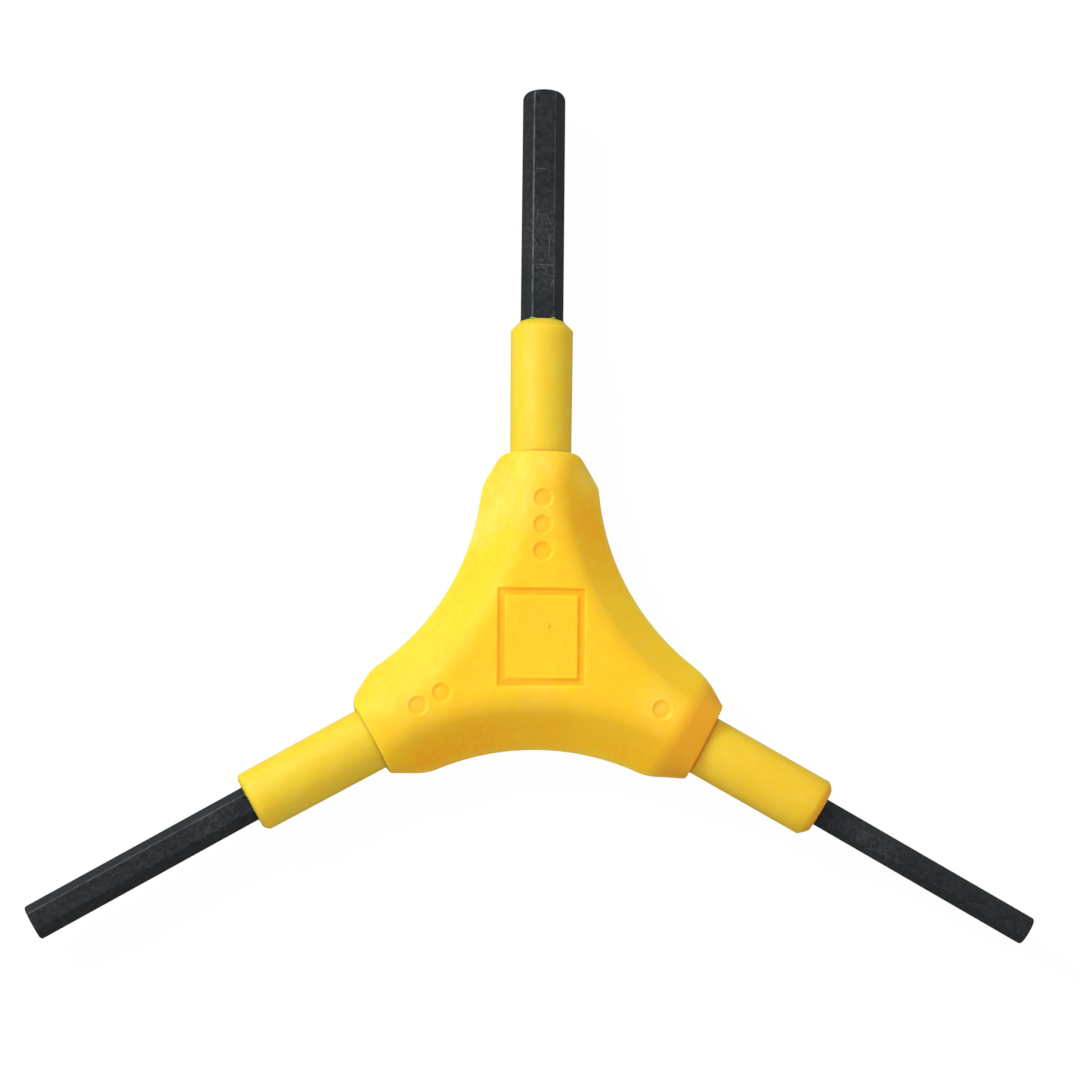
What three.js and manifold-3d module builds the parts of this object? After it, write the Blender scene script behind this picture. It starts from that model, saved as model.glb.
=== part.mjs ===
// Three-way hex wrench: a moulded three-armed grip that holds a steel hex key in each arm.
// Millimetres, +Z up. The wrench lies on its flat underside at z = 0, with the hub on the Z axis.
// The largest key points along +Y. Stations are distances from the hub axis out along an arm.
import * as THREE from "three";
import { mergeVertices } from "three/addons/utils/BufferGeometryUtils.js";
import Module from "manifold-3d";

// Sleeves, moulded on the keys
const sleeveDiameter = 9.9;
const sleeveRootStation = 9; // inner end
const sleeveEndStation = 51.3; // outer end
const sleeveEndRadius = 1.55; // rounding of the outer end
const sleeveFloor = 2.5; // plastic behind a key's inner end
const anchorRise = 0.85; // flats of the hexagonal collar that locks a sleeve in the grip
const anchorLength = 3;
const anchorEdgeRadius = 0.5;

// Keys
const largeKeyFlats = 6; // across flats
const middleKeyFlats = 5;
const smallKeyFlats = 4;
const largeKeyReach = 38.5; // out of the sleeve
const middleKeyReach = 38.1;
const smallKeyReach = 37.1;
const largeTipLength = 1.2; // rounding along the key
const largeTipDepth = 1.15; // rounding across the key, from its corners inwards
const plainTipLength = 0.45;
const plainTipDepth = 0.5;
const keyEdgeRadius = 0.4; // rounded long edges of the hexagon
const notchSetback = 3; // key's inner end to the notch round its edges, which the sleeve fills
const notchLength = 3;
const notchLand = 0.1; // how far the notch stays above the flats

// Grip
const sleeveCover = 2.3; // plastic above and below a sleeve, up to the flat faces
const sideInradius = 16.7; // hub axis to the middle of a concave side, at the parting line
const shoulderStation = 25; // where an arm starts to taper
const shoulderWidth = 18.7; // at the parting line
const shoulderTopWidth = 1.9; // across the flat face there
const shoulderSoftness = 1.2; // reach of the shoulder's rounding to either side
const edgeRadius = 3.6; // blend from a flank to the flat face
const taperLength = 5.1; // from the shoulder to the rim, the end face of an arm
const rimWidth = 12.8; // at the parting line
const rimTopWidth = 0.9; // of the narrow flat that runs down to its top edge
const rimDrop = 1.6; // top edge of the rim below the flat face
const rimFullness = 2.15; // power of its rounded section: 2 is an ellipse, more is squarer
const rimSoftness = 0.5; // reach of the rounding of the rim's corners

// Panel, left blank: a pad inside a rectangular groove on the top
const panelWidth = 13.5;
const panelLength = 15.5;
const grooveWidth = 1.2;
const grooveDepth = 0.5;

// Size marks: shallow round dots on the top of each arm
const dotDiameter = 3.1;
const dotDepth = 0.35;
const dotPitch = 4.2;
const dotSetback = 3.1; // outermost dot's centre to the shoulder

const seatGap = 0.3; // clearance between pieces that seat in each other
const overrun = 1; // how far a cutting tool passes the surface that it cuts

// Turns, in degrees
const armSpacing = 120;
const largeKeyArm = 90;
const smallKeyTwist = 5; // the small key sits slightly turned in its sleeve

// Facets
const sideSteps = 16; // along a concave side
const shoulderSteps = 3;
const rimSteps = 2;
const flankSteps = 3;
const blendSteps = 6;
const roundSegments = 48;
const dotSegments = 32;
const cornerSteps = 2;
const endSteps = 4;
const tipSteps = 4;
const hexCorners = 6;

const radians = THREE.MathUtils.degToRad;
const halfSpacing = radians(armSpacing / 2);
const sleeveRadius = sleeveDiameter / 2;
const halfThickness = sleeveRadius + sleeveCover;
const rimStation = shoulderStation + taperLength;
const keyRootStation = sleeveRootStation + sleeveFloor;

// A concave side is an arc through the shoulders of two arms and the middle between them. Its
// chord from that middle to a shoulder gives its radius.
const shoulderChord = new THREE.Vector2(shoulderStation, shoulderWidth / 2)
  .rotateAround(new THREE.Vector2(), -halfSpacing)
  .sub(new THREE.Vector2(sideInradius, 0));
const sideRadius = shoulderChord.lengthSq() / (2 * shoulderChord.x);
const sideCentre = new THREE.Vector2(sideInradius + sideRadius, 0)
  .rotateAround(new THREE.Vector2(), halfSpacing);

const arms = [
  {
    size: "6mm",
    turn: largeKeyArm,
    flats: largeKeyFlats,
    reach: largeKeyReach,
    tip: { length: largeTipLength, depth: largeTipDepth },
    twist: 0,
    dots: 3,
  },
  {
    size: "5mm",
    turn: largeKeyArm + armSpacing,
    flats: middleKeyFlats,
    reach: middleKeyReach,
    tip: { length: plainTipLength, depth: plainTipDepth },
    twist: 0,
    dots: 2,
  },
  {
    size: "4mm",
    turn: largeKeyArm - armSpacing,
    flats: smallKeyFlats,
    reach: smallKeyReach,
    tip: { length: plainTipLength, depth: plainTipDepth },
    twist: smallKeyTwist,
    dots: 1,
  },
];

const wasm = await Module();
wasm.setup();

// Solids and geometries

function solid(geometry) {
  const bare = geometry.clone();
  for (const name of Object.keys(bare.attributes)) {
    if (name !== "position") bare.deleteAttribute(name);
  }
  const merged = mergeVertices(bare);
  const { array } = merged.attributes.position;
  return new wasm.Manifold(
    new wasm.Mesh({
      numProp: 3,
      vertProperties: array,
      triVerts: new Uint32Array(merged.index.array),
    }),
  );
}

function geometryOf(manifold) {
  const mesh = manifold.getMesh();
  const geometry = new THREE.BufferGeometry();
  geometry.setAttribute("position", new THREE.BufferAttribute(mesh.vertProperties, mesh.numProp));
  geometry.setIndex(new THREE.BufferAttribute(mesh.triVerts, 1));
  const faceted = geometry.toNonIndexed();
  faceted.computeVertexNormals();
  return faceted;
}

// The solid of a geometry that is drawn along +X, turned onto an arm
function onArm(geometry, turn) {
  return solid(geometry.clone().rotateZ(radians(turn)));
}

// A body of revolution about +X from points [station, radius]
function revolve(points, segments) {
  const profile = points.map(([station, radius]) => new THREE.Vector2(radius, station));
  return new THREE.LatheGeometry(profile, segments).rotateZ(-Math.PI / 2);
}

// A hexagonal bar along +X with rounded long edges, a pair of flats facing up and down
function hexBar(flats, rounding, start, end) {
  const shape = new THREE.Shape();
  const cornerDistance = (flats / 2 - rounding) / Math.cos(Math.PI / hexCorners);
  for (let corner = 0; corner < hexCorners; corner++) {
    const facing = ((corner + 0.5) * 2 * Math.PI) / hexCorners;
    for (let step = 0; step <= cornerSteps; step++) {
      const turn = facing + ((step / cornerSteps - 0.5) * 2 * Math.PI) / hexCorners;
      const x = cornerDistance * Math.cos(facing) + rounding * Math.cos(turn);
      const y = cornerDistance * Math.sin(facing) + rounding * Math.sin(turn);
      if (corner === 0 && step === 0) shape.moveTo(x, y);
      else shape.lineTo(x, y);
    }
  }
  const bar = new THREE.ExtrudeGeometry(shape, { depth: end - start, bevelEnabled: false });
  return bar.translate(0, 0, start).rotateY(Math.PI / 2);
}

// A skin over closed rings of points, all with the same number of points, shut by two caps
function loft(rings, lowerCap, upperCap) {
  const count = rings[0].length;
  const last = (rings.length - 1) * count;
  const faces = [];
  for (let start = 0; start < last; start += count) {
    for (let i = 0; i < count; i++) {
      const a = start + i;
      const b = start + ((i + 1) % count);
      faces.push(a, b, b + count, a, b + count, a + count);
    }
  }
  for (const [a, b, c] of lowerCap) faces.push(a, c, b);
  for (const [a, b, c] of upperCap) faces.push(last + a, last + b, last + c);
  return new THREE.BufferGeometry().setFromPoints(rings.flat()).setIndex(faces);
}

// Grip: a stack of rings, from the underside over the parting line to the top. A level of the
// stack is how far its ring lies in from the parting line and how high above it. Each ring runs
// round the ends of the three arms and along the three concave sides between them.

// Half the width of an arm at a station, at an inset from the parting line
function halfWidth(station, inset) {
  const along = sideCentre.x - station;
  return sideCentre.y - Math.sqrt((sideRadius + inset) ** 2 - along ** 2);
}

// The levels from the parting line up: a straight slope, then the blend into the flat face
function flankLevels() {
  const flatCorner = new THREE.Vector2(shoulderStation, shoulderTopWidth / 2);
  const flatInset = flatCorner.distanceTo(sideCentre) - sideRadius;
  const blendCentre = new THREE.Vector2(flatInset, halfThickness - edgeRadius);
  const slope = blendCentre.angle() + Math.asin(edgeRadius / blendCentre.length());
  const straight = Math.sqrt(blendCentre.lengthSq() - edgeRadius ** 2);
  const levels = [];
  for (let step = 0; step <= flankSteps; step++) {
    const along = (straight * step) / flankSteps;
    levels.push(new THREE.Vector2(along * Math.cos(slope), along * Math.sin(slope)));
  }
  for (let step = 1; step <= blendSteps; step++) {
    const turn = slope * (1 - step / blendSteps);
    const spoke = new THREE.Vector2(-Math.sin(turn), Math.cos(turn));
    levels.push(spoke.multiplyScalar(edgeRadius).add(blendCentre));
  }
  return levels;
}

// The rim's corner at a level, as x across the arm and y up. The rim is a rounded collar about
// the sleeve, a little wider than tall.
function rimCorner({ y: height }) {
  const rise = Math.min(1, Math.abs(height) / halfThickness);
  const narrowing = (1 - rise ** rimFullness) ** (1 / rimFullness);
  const across = rimTopWidth / 2 + ((rimWidth - rimTopWidth) / 2) * narrowing;
  const up = Math.sign(height) * (halfThickness - rimDrop) * rise;
  return new THREE.Vector2(across, up);
}

// One half of an arm's end along +X, from its end face over the soft corner of the rim and down
// the taper to the soft shoulder
function armEnd(level) {
  const { x: inset, y: height } = level;
  const corner = rimCorner(level);
  const rim = new THREE.Vector3(rimStation, corner.x, corner.y);
  const shoulder = new THREE.Vector3(shoulderStation, halfWidth(shoulderStation, inset), height);
  const rimReach = Math.min(rimSoftness, corner.x / 2);
  const endFace = rim.clone().setY(rim.y - rimReach);
  const taperStart = rim.clone().lerp(shoulder, rimReach / taperLength);
  const taperEnd = shoulder.clone().lerp(rim, shoulderSoftness / taperLength);
  const station = shoulderStation - shoulderSoftness;
  const side = new THREE.Vector3(station, halfWidth(station, inset), height);
  return [
    ...new THREE.QuadraticBezierCurve3(endFace, rim, taperStart).getPoints(rimSteps),
    ...new THREE.QuadraticBezierCurve3(taperEnd, shoulder, side).getPoints(shoulderSteps),
  ];
}

const endCount = rimSteps + 1 + shoulderSteps + 1;
const upright = new THREE.Vector3(0, 0, 1);

// One concave side between the soft shoulders of an arm along +X and of the next arm
function sideCurve({ x: inset, y: height }) {
  const station = shoulderStation - shoulderSoftness;
  const start = new THREE.Vector2(station, halfWidth(station, inset)).sub(sideCentre);
  const middle = sideCentre.clone().negate();
  const swing = middle.angle() - start.angle();
  const points = [];
  for (let step = 1; step < sideSteps; step++) {
    const turn = (2 * swing * step) / sideSteps;
    const point = start.clone().rotateAround(new THREE.Vector2(), turn).add(sideCentre);
    points.push(new THREE.Vector3(point.x, point.y, height));
  }
  return points;
}

function gripRing(level) {
  const nearHalf = armEnd(level);
  const farHalf = nearHalf.map(({ x, y, z }) => new THREE.Vector3(x, -y, z)).reverse();
  const outline = [...farHalf, ...nearHalf, ...sideCurve(level)];
  return arms.flatMap((_, i) => {
    const turn = radians(largeKeyArm + armSpacing * i);
    return outline.map((point) => point.clone().applyAxisAngle(upright, turn));
  });
}

// The flat face, and for each arm a strip that slopes from it down to the rim
function gripCap(ring) {
  const perArm = ring.length / arms.length;
  const flat = ring.map((_, i) => i).filter((i) => {
    const place = i % perArm;
    return place === 0 || place >= 2 * endCount - 1;
  });
  const outline = flat.map((i) => new THREE.Vector2(ring[i].x, ring[i].y));
  const faces = THREE.ShapeUtils.triangulateShape(outline, []);
  const strips = arms.flatMap((_, arm) => {
    const far = arm * perArm;
    const near = far + 2 * endCount - 1;
    return Array.from({ length: endCount - 1 }, (_, step) => [
      [far + step, far + step + 1, near - step - 1],
      [far + step, near - step - 1, near - step],
    ]).flat();
  });
  return [...faces.map((face) => face.map((i) => flat[i])), ...strips];
}

function gripShell() {
  const upper = flankLevels();
  const lower = upper.slice(1).map(({ x, y }) => new THREE.Vector2(x, -y));
  const rings = [...lower.reverse(), ...upper].map(gripRing);
  const cap = gripCap(rings.at(-1));
  return loft(rings, cap, cap);
}

function panelGroove() {
  const outline = (path, width, length) => {
    path.moveTo(-width / 2, -length / 2);
    path.lineTo(width / 2, -length / 2);
    path.lineTo(width / 2, length / 2);
    path.lineTo(-width / 2, length / 2);
    path.closePath();
    return path;
  };
  const shape = outline(new THREE.Shape(), panelWidth, panelLength);
  const padWidth = panelWidth - 2 * grooveWidth;
  const padLength = panelLength - 2 * grooveWidth;
  shape.holes.push(outline(new THREE.Path(), padWidth, padLength));
  const depth = grooveDepth + overrun;
  const groove = new THREE.ExtrudeGeometry(shape, { depth, bevelEnabled: false });
  return groove.translate(0, 0, halfThickness - grooveDepth);
}

function dotCutter(station) {
  const height = dotDepth + overrun;
  const radius = dotDiameter / 2;
  const disc = new THREE.CylinderGeometry(radius, radius, height, dotSegments);
  return disc.rotateX(Math.PI / 2).translate(station, 0, halfThickness - dotDepth + height / 2);
}

function gripBody() {
  let grip = solid(gripShell()).subtract(solid(panelGroove()));
  for (const { turn, dots } of arms) {
    grip = grip.subtract(sleeveSolid(seatGap, turn));
    for (let dot = 0; dot < dots; dot++) {
      const station = shoulderStation - dotSetback - dot * dotPitch;
      grip = grip.subtract(onArm(dotCutter(station), turn));
    }
  }
  return grip;
}

// Sleeve, or the pocket for it when grown by a clearance
function sleeveSolid(grow, turn) {
  const root = sleeveRootStation - grow;
  const radius = sleeveRadius + grow;
  const points = [
    [root, 0],
    [root, radius],
  ];
  for (let step = 0; step <= endSteps; step++) {
    const angle = (Math.PI / 2) * (step / endSteps);
    const station = sleeveEndStation - sleeveEndRadius * (1 - Math.sin(angle));
    points.push([station, radius - sleeveEndRadius * (1 - Math.cos(angle))]);
  }
  points.push([sleeveEndStation, 0]);
  const collarFlats = sleeveDiameter + 2 * anchorRise + 2 * grow;
  const collarEnd = sleeveRootStation + anchorLength + grow;
  const collar = hexBar(collarFlats, anchorEdgeRadius + grow, root, collarEnd);
  return onArm(revolve(points, roundSegments), turn).add(onArm(collar, turn));
}

// Key, or the pocket for it when grown by a clearance

function keyNotch(flats, grow) {
  const inner = flats / 2 + notchLand + grow;
  const outer = flats + overrun;
  const start = keyRootStation + notchSetback + grow;
  const end = keyRootStation + notchSetback + notchLength - grow;
  const ring = [
    [start, inner],
    [start, outer],
    [end, outer],
    [end, inner],
    [start, inner],
  ];
  return solid(revolve(ring, roundSegments));
}

function keyBar({ flats, twist }, grow, end) {
  const bar = hexBar(flats + 2 * grow, keyEdgeRadius + grow, keyRootStation - grow, end);
  return solid(bar.rotateX(radians(twist))).subtract(keyNotch(flats, grow));
}

// The key's end is rounded about its axis, from the hexagon's corners inwards
function keySolid(arm) {
  const { flats, reach, tip } = arm;
  const corner = (flats / 2 - keyEdgeRadius) / Math.cos(Math.PI / hexCorners) + keyEdgeRadius;
  const start = keyRootStation - overrun;
  const end = sleeveEndStation + reach;
  const rounding = [];
  for (let step = 0; step <= tipSteps; step++) {
    const angle = (Math.PI / 2) * (step / tipSteps);
    const station = end - tip.length * (1 - Math.sin(angle));
    rounding.push([station, corner - tip.depth * (1 - Math.cos(angle))]);
  }
  // The first facet of the rounding runs on outwards, clear of the bar
  const [[station, radius], [nextStation, nextRadius]] = rounding;
  const slant = (nextStation - station) / (radius - nextRadius);
  const lead = [station - overrun * slant, radius + overrun];
  const points = [[start, 0], [start, radius + overrun], lead, ...rounding.slice(1), [end, 0]];
  return keyBar(arm, 0, end + overrun).intersect(solid(revolve(points, roundSegments)));
}

function boredSleeve(arm) {
  return sleeveSolid(0, 0).subtract(keyBar(arm, seatGap, sleeveEndStation + overrun));
}

// The wrench

const gripPlastic = new THREE.MeshStandardMaterial({ color: 0xf6cd32, roughness: 0.45 });
const sleevePlastic = new THREE.MeshStandardMaterial({ color: 0xecd43c, roughness: 0.42 });
const blackSteel = new THREE.MeshStandardMaterial({
  color: 0x2f3436,
  roughness: 0.5,
  metalness: 0.7,
});

function part(name, manifold, material) {
  const mesh = new THREE.Mesh(geometryOf(manifold), material.clone());
  mesh.name = name;
  return mesh;
}

const wrench = new THREE.Group();
const partingPlane = new THREE.Group();
partingPlane.position.z = halfThickness;
wrench.add(partingPlane);
partingPlane.add(part("grip_body", gripBody(), gripPlastic));
for (const arm of arms) {
  const group = new THREE.Group();
  group.rotation.z = radians(arm.turn);
  group.add(part(`hex_key_${arm.size}`, keySolid(arm), blackSteel));
  group.add(part(`sleeve_${arm.size}`, boredSleeve(arm), sleevePlastic));
  partingPlane.add(group);
}

export default wrench;
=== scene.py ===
# Three-way hex wrench: the looks of its grip, sleeves and keys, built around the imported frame.
# Lengths in this script are millimetres and angles are degrees, unless a name says otherwise.
# A piece's mesh is turned into metres when it is made. Stations are distances from the hub axis
# out along an arm. Heights are measured from the parting plane.
import math
import bpy
import numpy as np
from mathutils import Matrix, Vector
from mathutils.geometry import delaunay_2d_cdt


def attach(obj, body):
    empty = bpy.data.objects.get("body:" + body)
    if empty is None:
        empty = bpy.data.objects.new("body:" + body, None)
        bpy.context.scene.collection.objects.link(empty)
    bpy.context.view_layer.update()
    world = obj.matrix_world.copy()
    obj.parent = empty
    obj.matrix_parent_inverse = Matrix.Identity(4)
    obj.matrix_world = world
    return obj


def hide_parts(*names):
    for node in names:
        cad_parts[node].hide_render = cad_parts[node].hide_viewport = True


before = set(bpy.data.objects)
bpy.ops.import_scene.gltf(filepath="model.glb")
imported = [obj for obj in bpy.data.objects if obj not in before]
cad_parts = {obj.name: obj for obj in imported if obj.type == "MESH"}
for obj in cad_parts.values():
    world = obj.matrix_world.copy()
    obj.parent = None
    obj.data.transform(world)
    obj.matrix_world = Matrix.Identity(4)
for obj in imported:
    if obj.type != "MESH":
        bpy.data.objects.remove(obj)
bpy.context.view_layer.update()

MM = 0.001  # metres in a millimetre

# Grip
SLEEVE_DIAMETER = 9.9
SLEEVE_COVER = 2.3
SIDE_INRADIUS = 16.7  # from the hub axis to the middle of a concave side
SHOULDER_STATION = 25.0
SHOULDER_WIDTH = 18.7
SHOULDER_TOP_WIDTH = 0.3
EDGE_RADIUS = 5.5
TAPER_LENGTH = 5.1
RIM_WIDTH = 12.8
RIM_TOP_WIDTH = 0.9
RIM_DROP = 1.6
RIM_FULLNESS = 2.15  # power of the rim's rounded section: 2 is an ellipse
RIM_TOP_SOFTNESS = 0.3  # rounding of the rim's edge at the top
RIM_SOFTENING = 1.5  # how soon the rounding has that size, going up
TOP_SOFTNESS = 1.3  # reach of the crease across the top of a shoulder
PARTING_RADIUS = 0.2  # worn edge of the parting line
POCKET_DEPTH = 0.8  # how far the grip is open round a sleeve
SEAM = 0.03  # open line between the grip and a sleeve

# Panel and dots
PANEL_WIDTH = 14.0
PANEL_LENGTH = 15.7
PANEL_SHIFT = (0.08, 0.18)  # panel's middle from the hub axis
GROOVE_WIDTH = 1.55
GROOVE_DEPTH = 0.45
GROOVE_WALL = 0.5  # run of a groove's wall, seen from above
DOT_DIAMETER = 3.3
DOT_DEPTH = 0.3
DOT_WALL = 0.55  # run of a dot's wall
DOT_PITCH = 4.2
DOT_SETBACK = 3.1  # of the outermost dot, from the shoulder
DOT_LIP = 0.4  # width of the raised lip round a dot
DOT_LIP_HEIGHT = 0.05
DOT_STEP_RADIUS = 0.95  # edge of the slightly raised middle of a dot
DOT_STEP_HEIGHT = 0.05
GATE_PLACE = (1.05, 1.85)
GATE_RING_RADIUS = 0.75
GATE_NUB_RADIUS = 0.5
GATE_DEPTH = 0.13
GATE_NUB_SHARE = 1.4  # height of the nub over the ring round it, as a share of the ring's depth

# Sleeves and keys
SLEEVE_END_STATION = 51.3
BORE_DEPTH = 4.0
FLASH_WALL = 0.2
FLASH_HEIGHT = 0.12  # plastic standing along the key's flats
FLASH_CORNER_HEIGHT = 0.4  # and along its corners
FLASH_CORNER_SHARE = 0.2  # part of a flat that a corner's flash reaches along
FLASH_SHOULDER = 0.7  # height of the flash half way down its outer slope
KEY_GAP = 0.04  # round a key in its sleeve
KEY_EDGE_RADIUS = 0.35

ARM_SPACING = 120.0
LARGE_KEY_ARM = 90.0
HEX_CORNERS = 6
HEX_SECTOR = 2 * math.pi / HEX_CORNERS

# Each arm has small faults of moulding of its own. A pair of values for the two sides of an arm
# starts with the side that faces the next arm round. "sleeve" and "key" hold how far the piece
# lies aside at its inner and at its outer end. "end" is how far a sleeve's end is cut back, and
# its shape, from 0 for a round to 1 for a straight chamfer. "worn" is the wear of the key's
# corners, in turn from the first side, over the top and round: 0 none, 1 faint, 2 bright.
# The pair after "worn" is the strength of the painted shade at the seam, a deep orange line where
# the sleeve meets the grip, and of the deeper orange round where the key comes out; "flash" is the
# height of the plastic flash round the key, "red" the red of the sleeve's colour, and the last
# value the strength of the painted shade, a dull orange, on the grip's end of this arm.
ARMS = (
    {
        "size": "6mm", "turn": LARGE_KEY_ARM, "flats": 6.0, "reach": 38.5, "dots": 3,
        "dot_shift": (0.18, -0.15), "shoulder": (1.5, 0.7), "rim": (0.7, 0.7), "rim_shift": -0.15,
        "rim_lean": 0.0, "sleeve": (0.0, 0.0), "sleeve_radii": (4.84, 4.96), "end_shift": 0.45,
        "end": ((1.45, 0.95), (1.45, 0.95)), "key": (0.0, 0.0), "twist": 0.0, "tip": (1.35, 1.3),
        "worn": (1, 2, 1, 1, 1, 1), "seam_shade_root_orange": (0.6, 0.3), "flash": 1.0, "red": 0.79, "end_shade": 0.0,
    },
    {
        "size": "5mm", "turn": LARGE_KEY_ARM + ARM_SPACING, "flats": 5.0, "reach": 38.1, "dots": 2,
        "dot_shift": (-0.15, -0.06), "shoulder": (1.8, 1.2), "rim": (0.35, 1.3), "rim_shift": 0.0,
        "rim_lean": 0.0, "sleeve": (0.23, 0.01), "sleeve_radii": (5.02, 4.89), "end_shift": 0.05,
        "end": ((1.0, 0.4), (0.85, 0.15)), "key": (-0.06, -0.1), "twist": 0.0, "tip": (0.5, 0.5),
        "worn": (1, 0, 1, 1, 1, 1), "seam_shade_root_orange": (0.4, 0.35), "flash": 0.4, "red": 0.79, "end_shade": 0.0,
    },
    {
        "size": "4mm", "turn": LARGE_KEY_ARM - ARM_SPACING, "flats": 4.0, "reach": 37.1, "dots": 1,
        "dot_shift": (-0.12, 0.03), "shoulder": (2.6, 1.5), "rim": (0.3, 0.3), "rim_shift": 0.0,
        "rim_lean": 3.0, "sleeve": (-0.41, -0.02), "sleeve_radii": (4.77, 4.77), "end_shift": -0.25,
        "end": ((1.1, 0.6), (1.35, 0.8)), "key": (-0.06, 0.34), "twist": 5.0, "tip": (0.5, 0.5),
        "worn": (1, 0, 0, 1, 1, 1), "seam_shade_root_orange": (1.0, 0.9), "flash": 0.1, "red": 0.83, "end_shade": 0.75,
    },
)

SLEEVE_RADIUS = SLEEVE_DIAMETER / 2
HALF_THICKNESS = SLEEVE_RADIUS + SLEEVE_COVER
PAD_HALF_WIDTH = PANEL_WIDTH / 2 - GROOVE_WIDTH
PAD_HALF_LENGTH = PANEL_LENGTH / 2 - GROOVE_WIDTH
RIM_STATION = SHOULDER_STATION + TAPER_LENGTH


def add_object(name, data):
    """A new object in the scene."""
    thing = bpy.data.objects.new(name, data)
    bpy.context.scene.collection.objects.link(thing)
    return thing


def full_turn(count):
    """Evenly spaced turns in radians."""
    return np.arange(count) * (2 * math.pi / count)


def turned(x, y, degrees):
    """Points turned about the hub axis."""
    cosine, sine = math.cos(math.radians(degrees)), math.sin(math.radians(degrees))
    return cosine * x - sine * y, sine * x + cosine * y


# A concave side is an arc through two shoulders and the middle between them
chord_x, chord_y = turned(SHOULDER_STATION, SHOULDER_WIDTH / 2, -ARM_SPACING / 2)
chord_x -= SIDE_INRADIUS
SIDE_RADIUS = (chord_x ** 2 + chord_y ** 2) / (2 * chord_x)
SIDE_X, SIDE_Y = turned(SIDE_INRADIUS + SIDE_RADIUS, 0, ARM_SPACING / 2)


# Camera at the photograph's viewing angle, from the fit of the outline

CAMERA_PLACE = (-25.41, -75.88, 541.85)
CAMERA_RIGHT = (0.998734, 0.010088, 0.049280)
CAMERA_UP = (-0.018324, 0.985335, 0.169664)
CAMERA_LENS = 114.76
SENSOR_WIDTH = 36.0


def make_camera():
    data = bpy.data.cameras.new("camera")
    data.lens = CAMERA_LENS
    data.sensor_width = SENSOR_WIDTH
    camera = add_object("camera", data)
    right = Vector(CAMERA_RIGHT).normalized()
    back = right.cross(Vector(CAMERA_UP)).normalized()
    axes = Matrix((right, back.cross(right), back)).transposed()
    camera.matrix_world = Matrix.Translation(Vector(CAMERA_PLACE) * MM) @ axes.to_4x4()
    bpy.context.scene.camera = camera


# Light: one large soft lamp from the upper left and an even sky

KEY_AZIMUTH = 145.0
KEY_ELEVATION = 39.0
KEY_DISTANCE = 600.0
KEY_SIZE = 260.0
KEY_COLOUR = (0.91, 1.02, 1.05)
KEY_IRRADIANCE = 0.42  # on the flat top, as a share of what shows a colour as it is written
SKY_COLOUR = (1.08, 0.985, 0.95, 1)
SKY_STRENGTH = 0.74


def add_node(tree, kind, **values):
    """A node with values for its inputs."""
    node = tree.nodes.new(kind)
    for key, value in values.items():
        node.inputs[key].default_value = value
    return node


def mix_into_output(tree, share, first, second, kind):
    """Two shaders mixed, and sent to the output."""
    mix = tree.nodes.new("ShaderNodeMixShader")
    out = tree.nodes.new(kind)
    tree.links.new(share, mix.inputs[0])
    tree.links.new(first.outputs[0], mix.inputs[1])
    tree.links.new(second.outputs[0], mix.inputs[2])
    tree.links.new(mix.outputs[0], out.inputs["Surface"])


def make_lights():
    data = bpy.data.lights.new("key_light", "AREA")
    data.shape = "DISK"
    data.size = KEY_SIZE * MM
    data.color = KEY_COLOUR
    distance = KEY_DISTANCE * MM
    facing = math.sin(math.radians(KEY_ELEVATION))
    data.energy = KEY_IRRADIANCE * math.pi ** 2 * distance ** 2 / facing
    lamp = add_object("key_light", data)
    flat = math.cos(math.radians(KEY_ELEVATION))
    azimuth = math.radians(KEY_AZIMUTH)
    away = Vector((flat * math.cos(azimuth), flat * math.sin(azimuth), facing))
    axes = away.to_track_quat("Z", "Y").to_matrix().to_4x4()
    lamp.matrix_world = Matrix.Translation(away * distance) @ axes

    world = bpy.data.worlds.new("sky")
    world.use_nodes = True
    bpy.context.scene.world = world
    tree = world.node_tree
    tree.nodes.clear()
    light = add_node(tree, "ShaderNodeBackground", Color=SKY_COLOUR, Strength=SKY_STRENGTH)
    white = add_node(tree, "ShaderNodeBackground", Color=(1, 1, 1, 1), Strength=1.0)
    seen = add_node(tree, "ShaderNodeLightPath").outputs["Is Camera Ray"]
    mix_into_output(tree, seen, light, white, "ShaderNodeOutputWorld")
    bpy.context.scene.view_settings.view_transform = "Standard"


FLOOR_SIZE = 4000.0
FLOOR_DROP = 0.05  # floor's top below the wrench's underside
FLOOR_COLOUR = (0.30, 0.30, 0.30, 1)
FLOOR_GLOW_SHARE = 0.86  # how much of the floor's white is plain backdrop, free of shadow
FLOOR_GLOW_STRENGTH = 1.12


def make_floor():
    half = FLOOR_SIZE / 2 * MM
    z = -FLOOR_DROP * MM
    corners = [(-half, -half, z), (half, -half, z), (half, half, z), (-half, half, z)]
    mesh = bpy.data.meshes.new("floor")
    mesh.from_pydata(corners, [], [(0, 1, 2, 3)])
    floor = add_object("floor", mesh)
    material = bpy.data.materials.new("floor")
    material.use_nodes = True
    tree = material.node_tree
    tree.nodes.clear()
    paper = add_node(tree, "ShaderNodeBsdfDiffuse", Color=FLOOR_COLOUR)
    glow = add_node(tree, "ShaderNodeEmission", Strength=FLOOR_GLOW_STRENGTH)
    seen = add_node(tree, "ShaderNodeLightPath").outputs["Is Camera Ray"]
    share = tree.nodes.new("ShaderNodeMath")
    share.operation = "MULTIPLY"
    share.inputs[1].default_value = FLOOR_GLOW_SHARE
    tree.links.new(seen, share.inputs[0])
    mix_into_output(tree, share.outputs[0], paper, glow, "ShaderNodeOutputMaterial")
    mesh.materials.append(material)


# Meshes

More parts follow.
